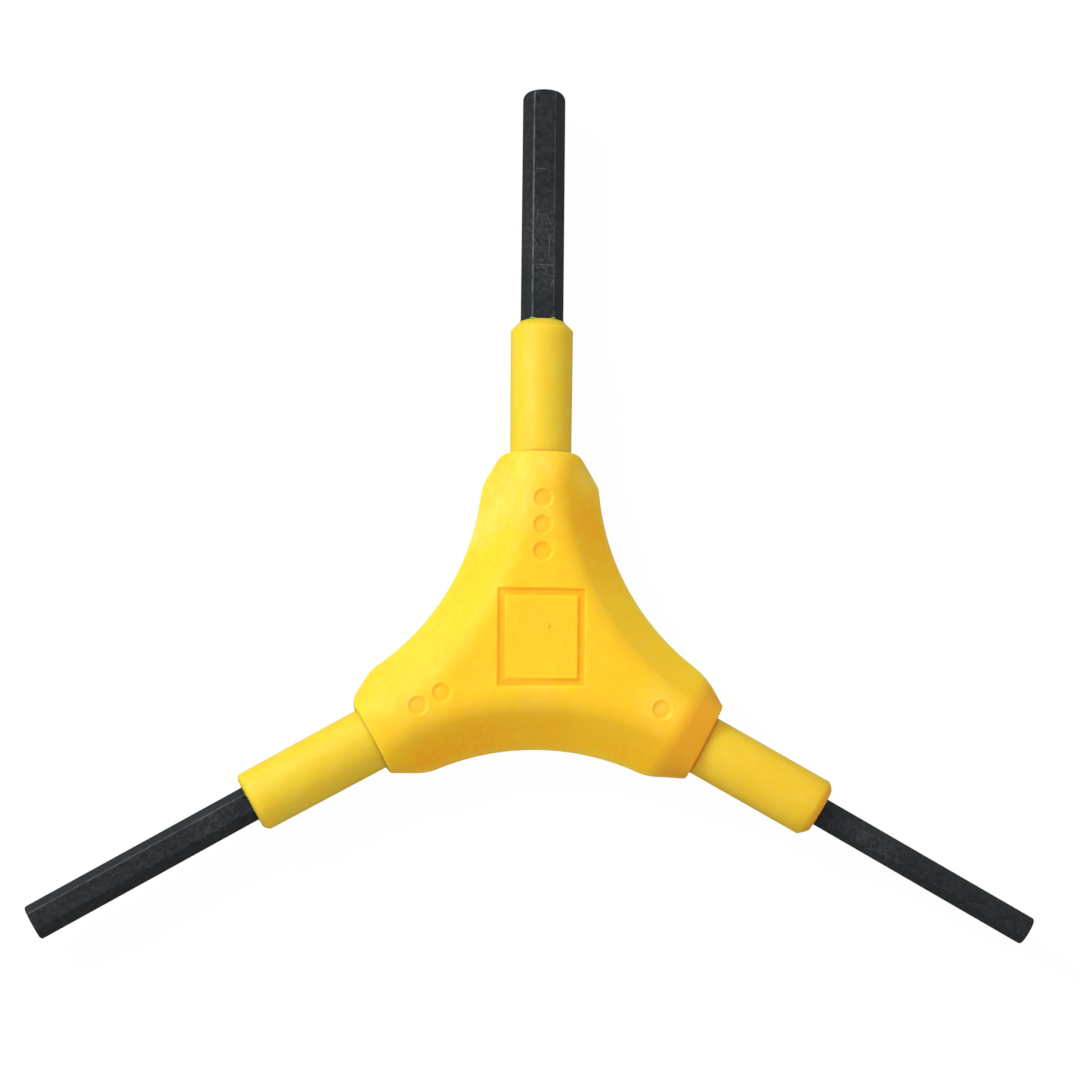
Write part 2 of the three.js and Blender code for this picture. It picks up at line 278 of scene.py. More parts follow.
def make_piece(name, points, faces, node, material, normals=None):
    """A piece of the wrench that stands for a CAD node. Points are millimetres from the parting
    plane at the hub axis."""
    mesh = bpy.data.meshes.new(name)
    lifted = np.asarray(points, float) + (0, 0, HALF_THICKNESS)
    mesh.from_pydata((lifted * MM).tolist(), [], [list(map(int, face)) for face in faces])
    mesh.validate()
    mesh.polygons.foreach_set("use_smooth", [True] * len(mesh.polygons))
    if normals is not None:
        mesh.normals_split_custom_set(normals)
    mesh.materials.append(material)
    piece = add_object(name, mesh)
    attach(piece, "root")
    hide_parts(node)
    return piece


# Grip skin: each arm's sections, from the parting line up over flank and blend to the flat top

PARTING_STEPS = 12
FLANK_STEPS = 24
BLEND_STEPS = 48
WALL_LEAN = 0.0005  # least step inwards from one level to the next
NUDGE = 0.01  # step for slopes
TINY = 1e-12


def flank_profile():
    """Insets and heights from the parting line up, closely spaced."""
    reach = math.hypot(SHOULDER_STATION - SIDE_X, SHOULDER_TOP_WIDTH / 2 - SIDE_Y)
    across, up = reach - SIDE_RADIUS, HALF_THICKNESS - EDGE_RADIUS  # centre of the blend
    away = math.hypot(across, up)
    slope = math.atan2(up, across) + math.asin(EDGE_RADIUS / away)
    straight = math.sqrt(away ** 2 - EDGE_RADIUS ** 2)
    edge_centre = PARTING_RADIUS / math.sin(slope)
    start = PARTING_RADIUS / math.tan(slope)
    turns = np.linspace(0, math.pi / 2 - slope, PARTING_STEPS, endpoint=False)
    edge = [
        (edge_centre - PARTING_RADIUS * math.cos(t), PARTING_RADIUS * math.sin(t)) for t in turns
    ]
    along = np.linspace(start, straight, FLANK_STEPS, endpoint=False)
    flank = [(a * math.cos(slope), a * math.sin(slope)) for a in along]
    turns = np.linspace(slope, 0, BLEND_STEPS + 1)
    blend = [(across - EDGE_RADIUS * math.sin(t), up + EDGE_RADIUS * math.cos(t)) for t in turns]
    return np.array(edge + flank + blend)


PROFILE = flank_profile()
INSETS, HEIGHTS = PROFILE[:, 0], PROFILE[:, 1]
RISE = HEIGHTS / HALF_THICKNESS


def half_width(station, inset):
    """Half the width of an arm at a station, at an inset from the parting line."""
    return SIDE_Y - np.sqrt((SIDE_RADIUS + inset) ** 2 - (SIDE_X - station) ** 2)


SHOULDER_SECTION = half_width(SHOULDER_STATION, INSETS)


def rim_section():
    """The rim's section before its edge is rounded: a collar about the sleeve, a little wider than
    tall."""
    narrowing = (1 - np.minimum(1, RISE) ** RIM_FULLNESS) ** (1 / RIM_FULLNESS)
    across = RIM_TOP_WIDTH / 2 + (RIM_WIDTH - RIM_TOP_WIDTH) / 2 * narrowing
    return across, (HALF_THICKNESS - RIM_DROP) * RISE


RIM_ACROSS, RIM_UP = rim_section()


def taper(station):
    """The section on the ruled taper, carried on inwards past the shoulder."""
    k = (station - SHOULDER_STATION) / TAPER_LENGTH
    across = SHOULDER_SECTION + (RIM_ACROSS - SHOULDER_SECTION) * k
    return across, HEIGHTS + (RIM_UP - HEIGHTS) * k


def sections(stations, shoulder, rim):
    """The sections at many stations, a row each, with the crease and the rim's edge softened. No
    level lies as far out as the one below it, so the skin never folds under itself."""
    s = np.asarray(stations, float)[:, None]
    reach = shoulder + (TOP_SOFTNESS - shoulder) * RISE ** 2
    side = half_width(np.minimum(s, SHOULDER_STATION), INSETS)
    ruled_y, ruled_z = taper(np.maximum(s, SHOULDER_STATION))
    across = np.where(s > SHOULDER_STATION, ruled_y, side)
    up = np.where(s > SHOULDER_STATION, ruled_z, np.broadcast_to(HEIGHTS, side.shape))
    u = np.clip((s - SHOULDER_STATION + reach) / (2 * reach), 0, 1)
    start_y = half_width(SHOULDER_STATION - reach, INSETS)
    end_y, end_z = taper(SHOULDER_STATION + reach)
    soft_y = (1 - u) ** 2 * start_y + 2 * u * (1 - u) * SHOULDER_SECTION + u ** 2 * end_y
    soft_z = HEIGHTS + u ** 2 * (end_z - HEIGHTS)
    inside = (u > 0) & (u < 1)
    across = np.where(inside, soft_y, across)
    up = np.where(inside, soft_z, up)
    radius = rim + (RIM_TOP_SOFTNESS - rim) * np.minimum(1, RISE * RIM_SOFTENING)
    left = np.clip(s - (RIM_STATION - radius), 0, radius)
    drop = radius - np.sqrt(np.maximum(radius ** 2 - left ** 2, 0))
    shrink = 1 - drop / np.hypot(across, up)
    lean = WALL_LEAN * np.arange(len(INSETS))
    return np.minimum.accumulate(across * shrink + lean, axis=1) - lean, up * shrink


def skin(stations, asides, shoulder, rim):
    """Height and normal of the grip's upper skin at points of one half of an arm. Asides are the
    distances from the arm's axis. The normal's parts lie along, across and up."""
    s = np.asarray(stations, float)
    a = np.asarray(asides, float)
    across, up = sections(s, shoulder, rim)
    level = np.clip((across > a[:, None]).sum(axis=1) - 1, 0, len(INSETS) - 2)
    row = np.arange(len(s))
    low, high = across[row, level], across[row, level + 1]
    share = np.clip((low - a) / np.maximum(low - high, TINY), 0, 1)

    def at_share(values):
        return values[row, level] + (values[row, level + 1] - values[row, level]) * share

    flat = a < across[:, -1]
    z = np.where(flat, up[:, -1], at_share(up))
    step = np.where(s > RIM_STATION - NUDGE, -NUDGE, NUDGE)
    next_across, next_up = sections(s + step, shoulder, rim)
    along_y = np.where(flat, 0, at_share(next_across) - at_share(across)) / step
    along_z = np.where(flat, next_up[:, -1] - up[:, -1], at_share(next_up) - at_share(up)) / step
    climb_y = np.where(flat, -1, high - low)
    climb_z = np.where(flat, 0, up[row, level + 1] - up[row, level])
    normal = np.stack([along_z * climb_y - along_y * climb_z, climb_z, -climb_y], axis=1)
    normal /= np.linalg.norm(normal, axis=1)[:, None]
    return z, normal


def nearest_arm(x, y):
    """For each point, the arm whose sector holds it."""
    along = np.stack([turned(x, y, -arm["turn"])[0] for arm in ARMS])
    return along.argmax(axis=0)


def upper_skin(x, y):
    """Height and normal of the plain upper skin at points seen from above."""
    z = np.zeros(len(x))
    normal = np.zeros((len(x), 3))
    which = nearest_arm(x, y)
    for i, arm in enumerate(ARMS):
        s, t = turned(x, y, -arm["turn"])
        for side, sign in enumerate((1, -1)):
            here = (which == i) & ((t >= 0) if sign > 0 else (t < 0))
            if not here.any():
                continue
            reach = np.minimum(s[here], RIM_STATION)
            aside = np.abs(t[here])
            z[here], lean = skin(reach, aside, arm["shoulder"][side], arm["rim"][side])
            nx, ny = turned(lean[:, 0], sign * lean[:, 1], arm["turn"])
            normal[here] = np.stack([nx, ny, lean[:, 2]], axis=1)
    return z, normal


# Features pressed into the top, as depths below the plain skin

def smooth(share):
    share = np.clip(share, 0, 1)
    return share * share * (3 - 2 * share)


def dot_depth(distance):
    radius = DOT_DIAMETER / 2
    wall = DOT_DEPTH * smooth((radius - distance) / DOT_WALL)
    middle = DOT_STEP_HEIGHT * smooth((DOT_STEP_RADIUS - distance) / DOT_WALL)
    lip = DOT_LIP_HEIGHT * smooth((distance - radius) / DOT_WALL + 1)
    lip = lip * smooth((radius + DOT_LIP - distance) / DOT_LIP)
    return wall - middle - lip


def groove_depth(x, y):
    out_x = np.abs(x - PANEL_SHIFT[0]) - PAD_HALF_WIDTH
    out_y = np.abs(y - PANEL_SHIFT[1]) - PAD_HALF_LENGTH
    out = np.maximum(out_x, out_y)
    return GROOVE_DEPTH * smooth(out / GROOVE_WALL) * smooth((GROOVE_WIDTH - out) / GROOVE_WALL)


def gate_depth(x, y):
    distance = np.hypot(x - GATE_PLACE[0], y - GATE_PLACE[1])
    ring = smooth((GATE_RING_RADIUS - distance) / (GATE_RING_RADIUS - GATE_NUB_RADIUS))
    nub = smooth((GATE_NUB_RADIUS - distance) / (GATE_RING_RADIUS - GATE_NUB_RADIUS))
    return GATE_DEPTH * (ring - GATE_NUB_SHARE * nub)


def dot_places():
    for arm in ARMS:
        for dot in range(arm["dots"]):
            along, across = arm["dot_shift"]
            station = SHOULDER_STATION - DOT_SETBACK - dot * DOT_PITCH + along
            yield turned(station, across, arm["turn"])


def feature_depth(x, y):
    depth = groove_depth(x, y) + gate_depth(x, y)
    for px, py in dot_places():
        depth = depth + dot_depth(np.hypot(x - px, y - py))
    return depth


# Lines that the skin's triangles follow, seen from above

DRAWN_LEVELS = [0, 4, 8, 12, 17, 22, 27, 32, 36, 41, 46, 51, 56, 61, 66, 71, 76, 80, 84]
END_START = 19.0  # station where an arm's end begins
END_SPACING = 0.5
RIM_LINES = 8
RIM_LINE_REACH = 1.4
SIDE_POINTS = 30
TOP_POINTS = 5  # across the flat top of an arm's end
CIRCLE_POINTS = 48
FILL_SPACING = 1.1
DOT_EDGE_RING = 0.08  # how far the ring at a dot's edge lies outside it
DOT_WALL_SHARES = (0.15, 0.35, 0.55, 0.8, 1.0)  # rings on a dot's wall, from its edge inwards
GROOVE_WALL_SHARES = (-0.25, 0, 0.2, 0.4, 0.6, 0.8, 1.0)  # and lines on the groove's walls
GATE_RINGS = 6  # circles round the gate, the first two steps outside its ring
WELD = 1e-4
RIM_TOLERANCE = 10 * WELD
INSIDE_ONLY = 1  # Blender's number for triangles inside the outline


def end_stations():
    plain = np.arange(END_START, RIM_STATION - RIM_LINE_REACH - END_SPACING / 2, END_SPACING)
    near = RIM_STATION - RIM_LINE_REACH * (np.arange(RIM_LINES, -1, -1) / RIM_LINES) ** 2
    return np.concatenate([plain, near])


class Drawing:
    """Points and edges, seen from above, that the triangles of a skin have to follow."""

    def __init__(self):
        self.points = []
        self.edges = []

    def line(self, x, y, closed=False):
        start = len(self.points)
        self.points += [Vector((float(a), float(b))) for a, b in zip(x, y)]
        count = len(x)
        self.edges += [(start + i, start + i + 1) for i in range(count - 1)]
        if closed:
            self.edges.append((start + count - 1, start))

    def circle(self, centre, radius):
        turns = full_turn(CIRCLE_POINTS)
        self.line(centre[0] + radius * np.cos(turns), centre[1] + radius * np.sin(turns), True)

    def rectangle(self, half_x, half_y):
        """A rectangle about the panel's middle."""
        left, right = PANEL_SHIFT[0] - half_x, PANEL_SHIFT[0] + half_x
        low, high = PANEL_SHIFT[1] - half_y, PANEL_SHIFT[1] + half_y
        self.line([left, right, right, left], [low, low, high, high], True)


def level_rows(arm, side):
    """Asides of each drawn level at each station of one half of an arm's end."""
    across, _ = sections(end_stations(), arm["shoulder"][side], arm["rim"][side])
    return across[:, DRAWN_LEVELS]


def draw_grip(drawing):
    stations = end_stations()
    for i, arm in enumerate(ARMS):
        next_arm = ARMS[(i + 1) % len(ARMS)]
        near = level_rows(arm, 0)
        far = level_rows(next_arm, 1)
        for column, level in enumerate(DRAWN_LEVELS):
            radius = SIDE_RADIUS + INSETS[level]
            start = math.atan2(near[0, column] - SIDE_Y, END_START - SIDE_X)
            middle = math.atan2(-SIDE_Y, -SIDE_X)
            swing = np.linspace(start, 2 * middle - start, SIDE_POINTS)[1:-1]
            x = np.concatenate([stations[::-1], SIDE_X + radius * np.cos(swing)])
            y = np.concatenate([near[::-1, column], SIDE_Y + radius * np.sin(swing)])
            x, y = turned(x, y, arm["turn"])
            far_x, far_y = turned(stations, -far[:, column], next_arm["turn"])
            drawing.line(np.concatenate([x, far_x]), np.concatenate([y, far_y]))
        other = level_rows(arm, 1)
        for row, station in enumerate(stations):
            inner = np.linspace(-near[row, -1], near[row, -1], TOP_POINTS)[1:-1]
            y = np.concatenate([-other[row], inner, near[row, ::-1]])
            x, y = turned(np.full(len(y), station), y, arm["turn"])
            drawing.line(x, y)


def draw_features(drawing):
    radius = DOT_DIAMETER / 2
    rings = [radius + DOT_LIP, radius + DOT_LIP / 2, radius + DOT_EDGE_RING]
    rings += [radius - DOT_WALL * share for share in DOT_WALL_SHARES]
    rings += [DOT_STEP_RADIUS, DOT_STEP_RADIUS - DOT_WALL / 2, DOT_STEP_RADIUS - DOT_WALL]
    for place in dot_places():
        for ring in rings:
            drawing.circle(place, ring)
    walls = np.array(GROOVE_WALL_SHARES) * GROOVE_WALL
    for out in np.concatenate([walls, GROOVE_WIDTH - walls]):
        drawing.rectangle(PAD_HALF_WIDTH + out, PAD_HALF_LENGTH + out)
    step = (GATE_RING_RADIUS - GATE_NUB_RADIUS) / 2
    for ring in range(GATE_RINGS):
        drawing.circle(GATE_PLACE, GATE_RING_RADIUS + (2 - ring) * step)


def draw_fill(drawing):
    reach = SHOULDER_STATION
    for row, y in enumerate(np.arange(-reach, reach, FILL_SPACING * math.sqrt(3) / 2)):
        x = np.arange(-reach, reach, FILL_SPACING) + FILL_SPACING / 2 * (row % 2)
        which = nearest_arm(x, np.full(len(x), y))
        for px, i in zip(x, which):
            s, t = turned(px, y, -ARMS[i]["turn"])
            inset = math.hypot(SIDE_X - s, SIDE_Y - abs(t)) - SIDE_RADIUS
            if s < END_START and inset > INSETS[-1]:
                drawing.points.append(Vector((float(px), float(y))))


def triangulate(drawing):
    """Triangles between the drawn lines, inside the outline."""
    result = delaunay_2d_cdt(drawing.points, drawing.edges, [], INSIDE_ONLY, WELD)
    points = np.array([tuple(p) for p in result[0]])
    return points, [tuple(face) for face in result[2]]


def encloses(outline, place):
    """Whether a closed outline goes round a place."""
    a = np.asarray(outline, float)
    b = np.roll(a, -1, axis=0)
    x, y = place
    spans = (a[:, 1] > y) != (b[:, 1] > y)
    rise = np.where(spans, b[:, 1] - a[:, 1], 1)
    crossing = a[:, 0] + (y - a[:, 1]) * (b[:, 0] - a[:, 0]) / rise
    return (spans & (crossing > x)).sum() % 2 == 1


def plate(outline, hole):
    """Points and triangles between a closed outline and the edge of a hole in it."""
    drawing = Drawing()
    drawing.line(*np.transpose(outline), True)
    drawing.line(*np.transpose(hole), True)
    flat, faces = triangulate(drawing)
    return flat, [face for face in faces if not encloses(hole, flat[list(face)].mean(axis=0))]


LEAST_UP = 0.05  # least upward part of the plain skin's normal that a feature leans against


def skin_half(with_features):
    """Points, normals and faces of the grip's upper skin, with the panel and dots or plain."""
    drawing = Drawing()
    draw_grip(drawing)
    draw_fill(drawing)
    if with_features:
        draw_features(drawing)
    flat, faces = triangulate(drawing)
    x, y = flat[:, 0], flat[:, 1]
    z, normal = upper_skin(x, y)
    if with_features:
        lean_x = (feature_depth(x + NUDGE, y) - feature_depth(x - NUDGE, y)) / (2 * NUDGE)
        lean_y = (feature_depth(x, y + NUDGE) - feature_depth(x, y - NUDGE)) / (2 * NUDGE)
        z = z - feature_depth(x, y)
        up = np.maximum(normal[:, 2], LEAST_UP)
        normal = normal + np.stack([lean_x * up, lean_y * up, np.zeros(len(x))], axis=1)
        normal /= np.linalg.norm(normal, axis=1)[:, None]
    return np.stack([x, y, z], axis=1), normal, faces


def end_face(points, arm):
    """The flat end of an arm round its sleeve, and the pocket behind it, from the skin's points."""
    s, t = turned(points[:, 0], points[:, 1], -arm["turn"])
    rim = np.stack([t, points[:, 2]], axis=1)[np.abs(s - RIM_STATION) < RIM_TOLERANCE]
    rim = rim[np.argsort(np.arctan2(rim[:, 1], rim[:, 0]))]
    steps = rim - np.roll(rim, 1, axis=0)
    rim = rim[np.hypot(steps[:, 0], steps[:, 1]) > RIM_TOLERANCE]
    turns = full_turn(CIRCLE_POINTS)
    radius = arm["sleeve_radii"][0] + SEAM
    aside = arm["sleeve"][0]
    hole = np.stack([aside + radius * np.cos(turns), radius * np.sin(turns)], axis=1)
    flat, faces = plate(rim, hole)
    count, edge = len(flat), len(hole)
    flat = np.concatenate([flat, hole, hole, [(aside, 0)]])
    station = np.repeat([RIM_STATION, RIM_STATION - POCKET_DEPTH], [count + edge, edge + 1])
    x, y = turned(station, flat[:, 0], arm["turn"])
    for i in range(edge):
        a, b = count + i, count + (i + 1) % edge
        faces.append((a, b, b + edge, a + edge))
        faces.append((a + edge, b + edge, count + 2 * edge))
    return np.stack([x, y, flat[:, 1]], axis=1), faces


def place_rims(points):
    """The grip's points with each rim moved and leant by its own small amount."""
    placed = points.copy()
    which = nearest_arm(points[:, 0], points[:, 1])
    for i, arm in enumerate(ARMS):
        here = which == i
        s, t = turned(points[here, 0], points[here, 1], -arm["turn"])
        share = np.clip((s - SHOULDER_STATION) / TAPER_LENGTH, 0, 1) ** 2
        s = s + share * (arm["rim_shift"] - t * math.tan(math.radians(arm["rim_lean"])))
        placed[here, 0], placed[here, 1] = turned(s, t, arm["turn"])
    return placed


def make_grip(material):
    """The grip: an upper and a lower skin that meet at the parting line, and three flat ends."""
    upper, upper_normal, upper_faces = skin_half(True)
    lower, lower_normal, lower_faces = skin_half(False)
    flip = np.array([1, 1, -1])
    points = skin_points = np.concatenate([upper, lower * flip])
    skin_normals = np.concatenate([upper_normal, lower_normal * flip])
    faces = list(upper_faces) + [tuple(i + len(upper) for i in face[::-1]) for face in lower_faces]
    normals = [skin_normals[i] for face in faces for i in face]
    rounded = len(faces)
    for arm in ARMS:
        end, end_faces = end_face(skin_points, arm)
        faces += [tuple(i + len(points) for i in face) for face in end_faces]
        points = np.concatenate([points, end])
    points = place_rims(points)
    for face in faces[rounded:]:
        a, b, c = (points[i] for i in face[:3])
        flat = np.cross(b - a, c - a)
        normals += [flat / max(np.linalg.norm(flat), TINY)] * len(face)
    return make_piece("grip_body_moulded", points, faces, "grip_body", material,
                      [tuple(n) for n in normals])


# Sleeves and keys: rings of points round an arm's axis

def rings_to_mesh(rings, closed_ends=(True, True)):
    """A skin over rings of points, with a fan on each end."""
    count = len(rings[0])
    points = [tuple(p) for ring in rings for p in ring]
    faces = []
    for r in range(len(rings) - 1):
        for i in range(count):
            a, b = r * count + i, r * count + (i + 1) % count
            faces.append((a, b, b + count, a + count))
    for end, shown in zip((0, len(rings) - 1), closed_ends):
        if shown:
            middle = np.mean(np.asarray(rings[end], float), axis=0)
            points.append(tuple(middle))
            first, last = end * count, len(points) - 1
            fan = [(first + i, first + (i + 1) % count, last) for i in range(count)]
            faces += [face[::-1] for face in fan] if end == 0 else fan
    return points, faces


def on_arm(points, arm):
    """Points along +X turned onto an arm."""
    points = np.asarray(points, float)
    x, y = turned(points[:, 0], points[:, 1], arm["turn"])
    return np.stack([x, y, points[:, 2]], axis=1)


SLEEVE_SEGMENTS = 96
SLEEVE_HIDDEN = 0.7  # length of a sleeve inside the grip's pocket
SLEEVE_END_LENGTH = 3.0  # more than any chamfer
SLEEVE_BODY_RINGS = 9
SLEEVE_END_RINGS = 13
KEY_EDGE_STEPS = 4  # round half of a key's corner
KEY_FLAT_SHARES = (0.15, 0.4, 0.7)  # points between a corner and the middle of a flat


def sleeve_end(arm):
    return SLEEVE_END_STATION + arm["end_shift"]


def between(pair, station):
    """A value that changes evenly from a sleeve's root to its end."""
    share = (station - RIM_STATION) / (SLEEVE_END_STATION - RIM_STATION)
    return pair[0] + (pair[1] - pair[0]) * share


def sleeve_outline(arm, side):
    """Stations along one side of a sleeve, and how far its skin is cut back there."""
    reach, straight = arm["end"][side]
    end = sleeve_end(arm)
    body = np.linspace(RIM_STATION, end - SLEEVE_END_LENGTH, SLEEVE_BODY_RINGS)
    share = np.linspace(0, 1, SLEEVE_END_RINGS)
    turn = math.pi / 2 * share
    along = np.sin(turn) + (share - np.sin(turn)) * straight
    drop = 1 - np.cos(turn) + (share - 1 + np.cos(turn)) * straight
    stations = np.concatenate([[RIM_STATION - SLEEVE_HIDDEN], body, end - reach * (1 - along)])
    return stations, np.concatenate([[0], np.zeros(len(body)), reach * drop])


def rounded_corner(flats):
    """Distance to the centre of a key's corner rounding, and the turn that half of it takes."""
    half = HEX_SECTOR / 2
    corner = (flats / 2 - KEY_EDGE_RADIUS) / math.cos(half)
    rise = KEY_EDGE_RADIUS * math.sin(half)
    return corner, math.atan2(rise, corner + KEY_EDGE_RADIUS * math.cos(half))


def hex_radius(flats, turn):
    """Distance from a key's axis to its skin, facing the turn, with flats up and down."""
    off = abs((turn + HEX_SECTOR / 2) % HEX_SECTOR - HEX_SECTOR / 2)
    corner, edge = rounded_corner(flats)
    if off < edge:
        rest = math.sqrt(KEY_EDGE_RADIUS ** 2 - (corner * math.sin(off)) ** 2)
        return corner * math.cos(off) + rest
    return flats / 2 / math.cos(HEX_SECTOR / 2 - off)


def key_turns(flats):
    """Turns round a key's axis, close together over its rounded corners."""
    _, edge = rounded_corner(flats)
    flat = HEX_SECTOR / 2 - edge
    steps = [edge * k / KEY_EDGE_STEPS for k in range(-KEY_EDGE_STEPS, KEY_EDGE_STEPS + 1)]
    steps += [edge + flat * share for share in (*KEY_FLAT_SHARES, 1.0)]
    steps += [-edge - flat * share for share in KEY_FLAT_SHARES]
    corners = range(HEX_CORNERS)
    return np.array(sorted(corner * HEX_SECTOR + step for corner in corners for step in steps))


def key_ring(arm, station, grow=0.0, limit=None):
    """A ring of a key's skin, or of the plastic round it when grown."""
    ring = []
    for turn in key_turns(arm["flats"]):
        radius = hex_radius(arm["flats"], turn) + grow
        if limit is not None:
            radius = min(radius, limit)
        facing = turn + math.radians(arm["twist"])
        ring.append((station, radius * math.cos(facing), radius * math.sin(facing)))
    return ring


def sleeve_rings(arm):
    turns = full_turn(SLEEVE_SEGMENTS)
    weight = (1 + np.cos(turns)) / 2
    near, near_drop = sleeve_outline(arm, 0)
    far, far_drop = sleeve_outline(arm, 1)
    rings = []
    for row in range(len(near)):
        station = near[row] * weight + far[row] * (1 - weight)
        radius = between(arm["sleeve_radii"], station)
        radius -= near_drop[row] * weight + far_drop[row] * (1 - weight)
        aside = between(arm["sleeve"], station)
        rings.append(list(zip(station, aside + radius * np.cos(turns), radius * np.sin(turns))))
    return rings


def flash_rings(arm):
    """Thin plastic that stands along the key, highest at its corners, and the bore's wall."""
    turns = key_turns(arm["flats"])
    off = np.abs((turns + HEX_SECTOR / 2) % HEX_SECTOR - HEX_SECTOR / 2)
    peak = np.maximum(0, 1 - off / (HEX_SECTOR * FLASH_CORNER_SHARE))
    height = (FLASH_HEIGHT + (FLASH_CORNER_HEIGHT - FLASH_HEIGHT) * peak) * arm["flash"]
    slope = ((FLASH_WALL, 0), (FLASH_WALL / 2, FLASH_SHOULDER * height))
    wall = ((KEY_GAP, height), (KEY_GAP, -BORE_DEPTH))
    rings = []
    for grow, rise in slope + wall:
        ring = np.array(key_ring(arm, sleeve_end(arm), grow))
        ring[:, 0] += rise
        ring[:, 1] += arm["key"][0]
        rings.append([tuple(p) for p in ring])
    return rings


def make_sleeve(arm, material):
    """A round sleeve with an uneven rounded end, pierced by its key's bore."""
    rings = sleeve_rings(arm)
    lips = flash_rings(arm)
    points, faces = rings_to_mesh(rings, (True, False))
    flat, flat_faces = plate(np.array(rings[-1])[:, 1:], np.array(lips[0])[:, 1:])
    end = [(sleeve_end(arm), *p) for p in flat], flat_faces
    for more_points, more_faces in (end, rings_to_mesh(lips, (False, False))):
        faces += [tuple(i + len(points) for i in face) for face in more_faces]
        points += more_points
    name = f"sleeve_{arm['size']}"
    points = on_arm(points, arm)
    return make_piece(f"{name}_moulded", points, faces, name, material)


KEY_SPACING = 1.5
WORN_SHARE = 0.8  # part of a rounded corner that is rubbed bright
TIP_STEPS = 8
TIP_FACE_SHARES = (0.97, 0.5)  # rings on the flat end, each as a share of the one before


def make_key(arm, materials):
    """A hexagon bar with a rounded tip. The materials are the plain, faintly and brightly worn."""
    end = SLEEVE_END_STATION + arm["reach"]
    length, depth = arm["tip"]
    corner, edge = rounded_corner(arm["flats"])
    corner += KEY_EDGE_RADIUS
    start = SLEEVE_END_STATION - BORE_DEPTH
    body_end = end - length
    stations = np.linspace(start, body_end, int((body_end - start) / KEY_SPACING))
    rings = [key_ring(arm, station) for station in stations]
    for k in range(1, TIP_STEPS + 1):
        turn = math.pi / 2 * k / TIP_STEPS
        station = end - length * (1 - math.sin(turn))
        rings.append(key_ring(arm, station, limit=corner - depth * (1 - math.cos(turn))))
    for share in TIP_FACE_SHARES:
        rings.append([(end, y * share, z * share) for _, y, z in rings[-1]])
    points, faces = rings_to_mesh(rings)
    points = np.array(points)
    share = (points[:, 0] - SLEEVE_END_STATION) / arm["reach"]
    points[:, 1] += arm["key"][0] + (arm["key"][1] - arm["key"][0]) * share
    points = on_arm(points, arm)
    name = f"hex_key_{arm['size']}"
    piece = make_piece(f"{name}_black", points, faces, name, materials[0])
    for material in materials[1:]:
        piece.data.materials.append(material)
    turns = key_turns(arm["flats"])
    middles = (turns + np.append(turns[1:], turns[0] + 2 * math.pi)) / 2
    nearest = np.round(middles / HEX_SECTOR).astype(int)
    for i in np.flatnonzero(np.abs(middles - nearest * HEX_SECTOR) < edge * WORN_SHARE):
        level = arm["worn"][nearest[i] % HEX_CORNERS]
        for ring in range(len(rings) - 1):
            piece.data.polygons[ring * len(turns) + int(i)].material_index = level
    return piece


# Materials

NEAR_FULL_SHARE = 0.3  # part of a patch's reach that has its full colour
GLOW_SHARE = 1.0  # how much of the plastic's light comes from under its skin
GLOW_REACH = 2.0
GLOW_SPREAD = (1.0, 0.4, 0.2)  # red travels furthest
MIX_A, MIX_B, MIX_RESULT = 6, 7, 2  # a Mix node's sockets for colours


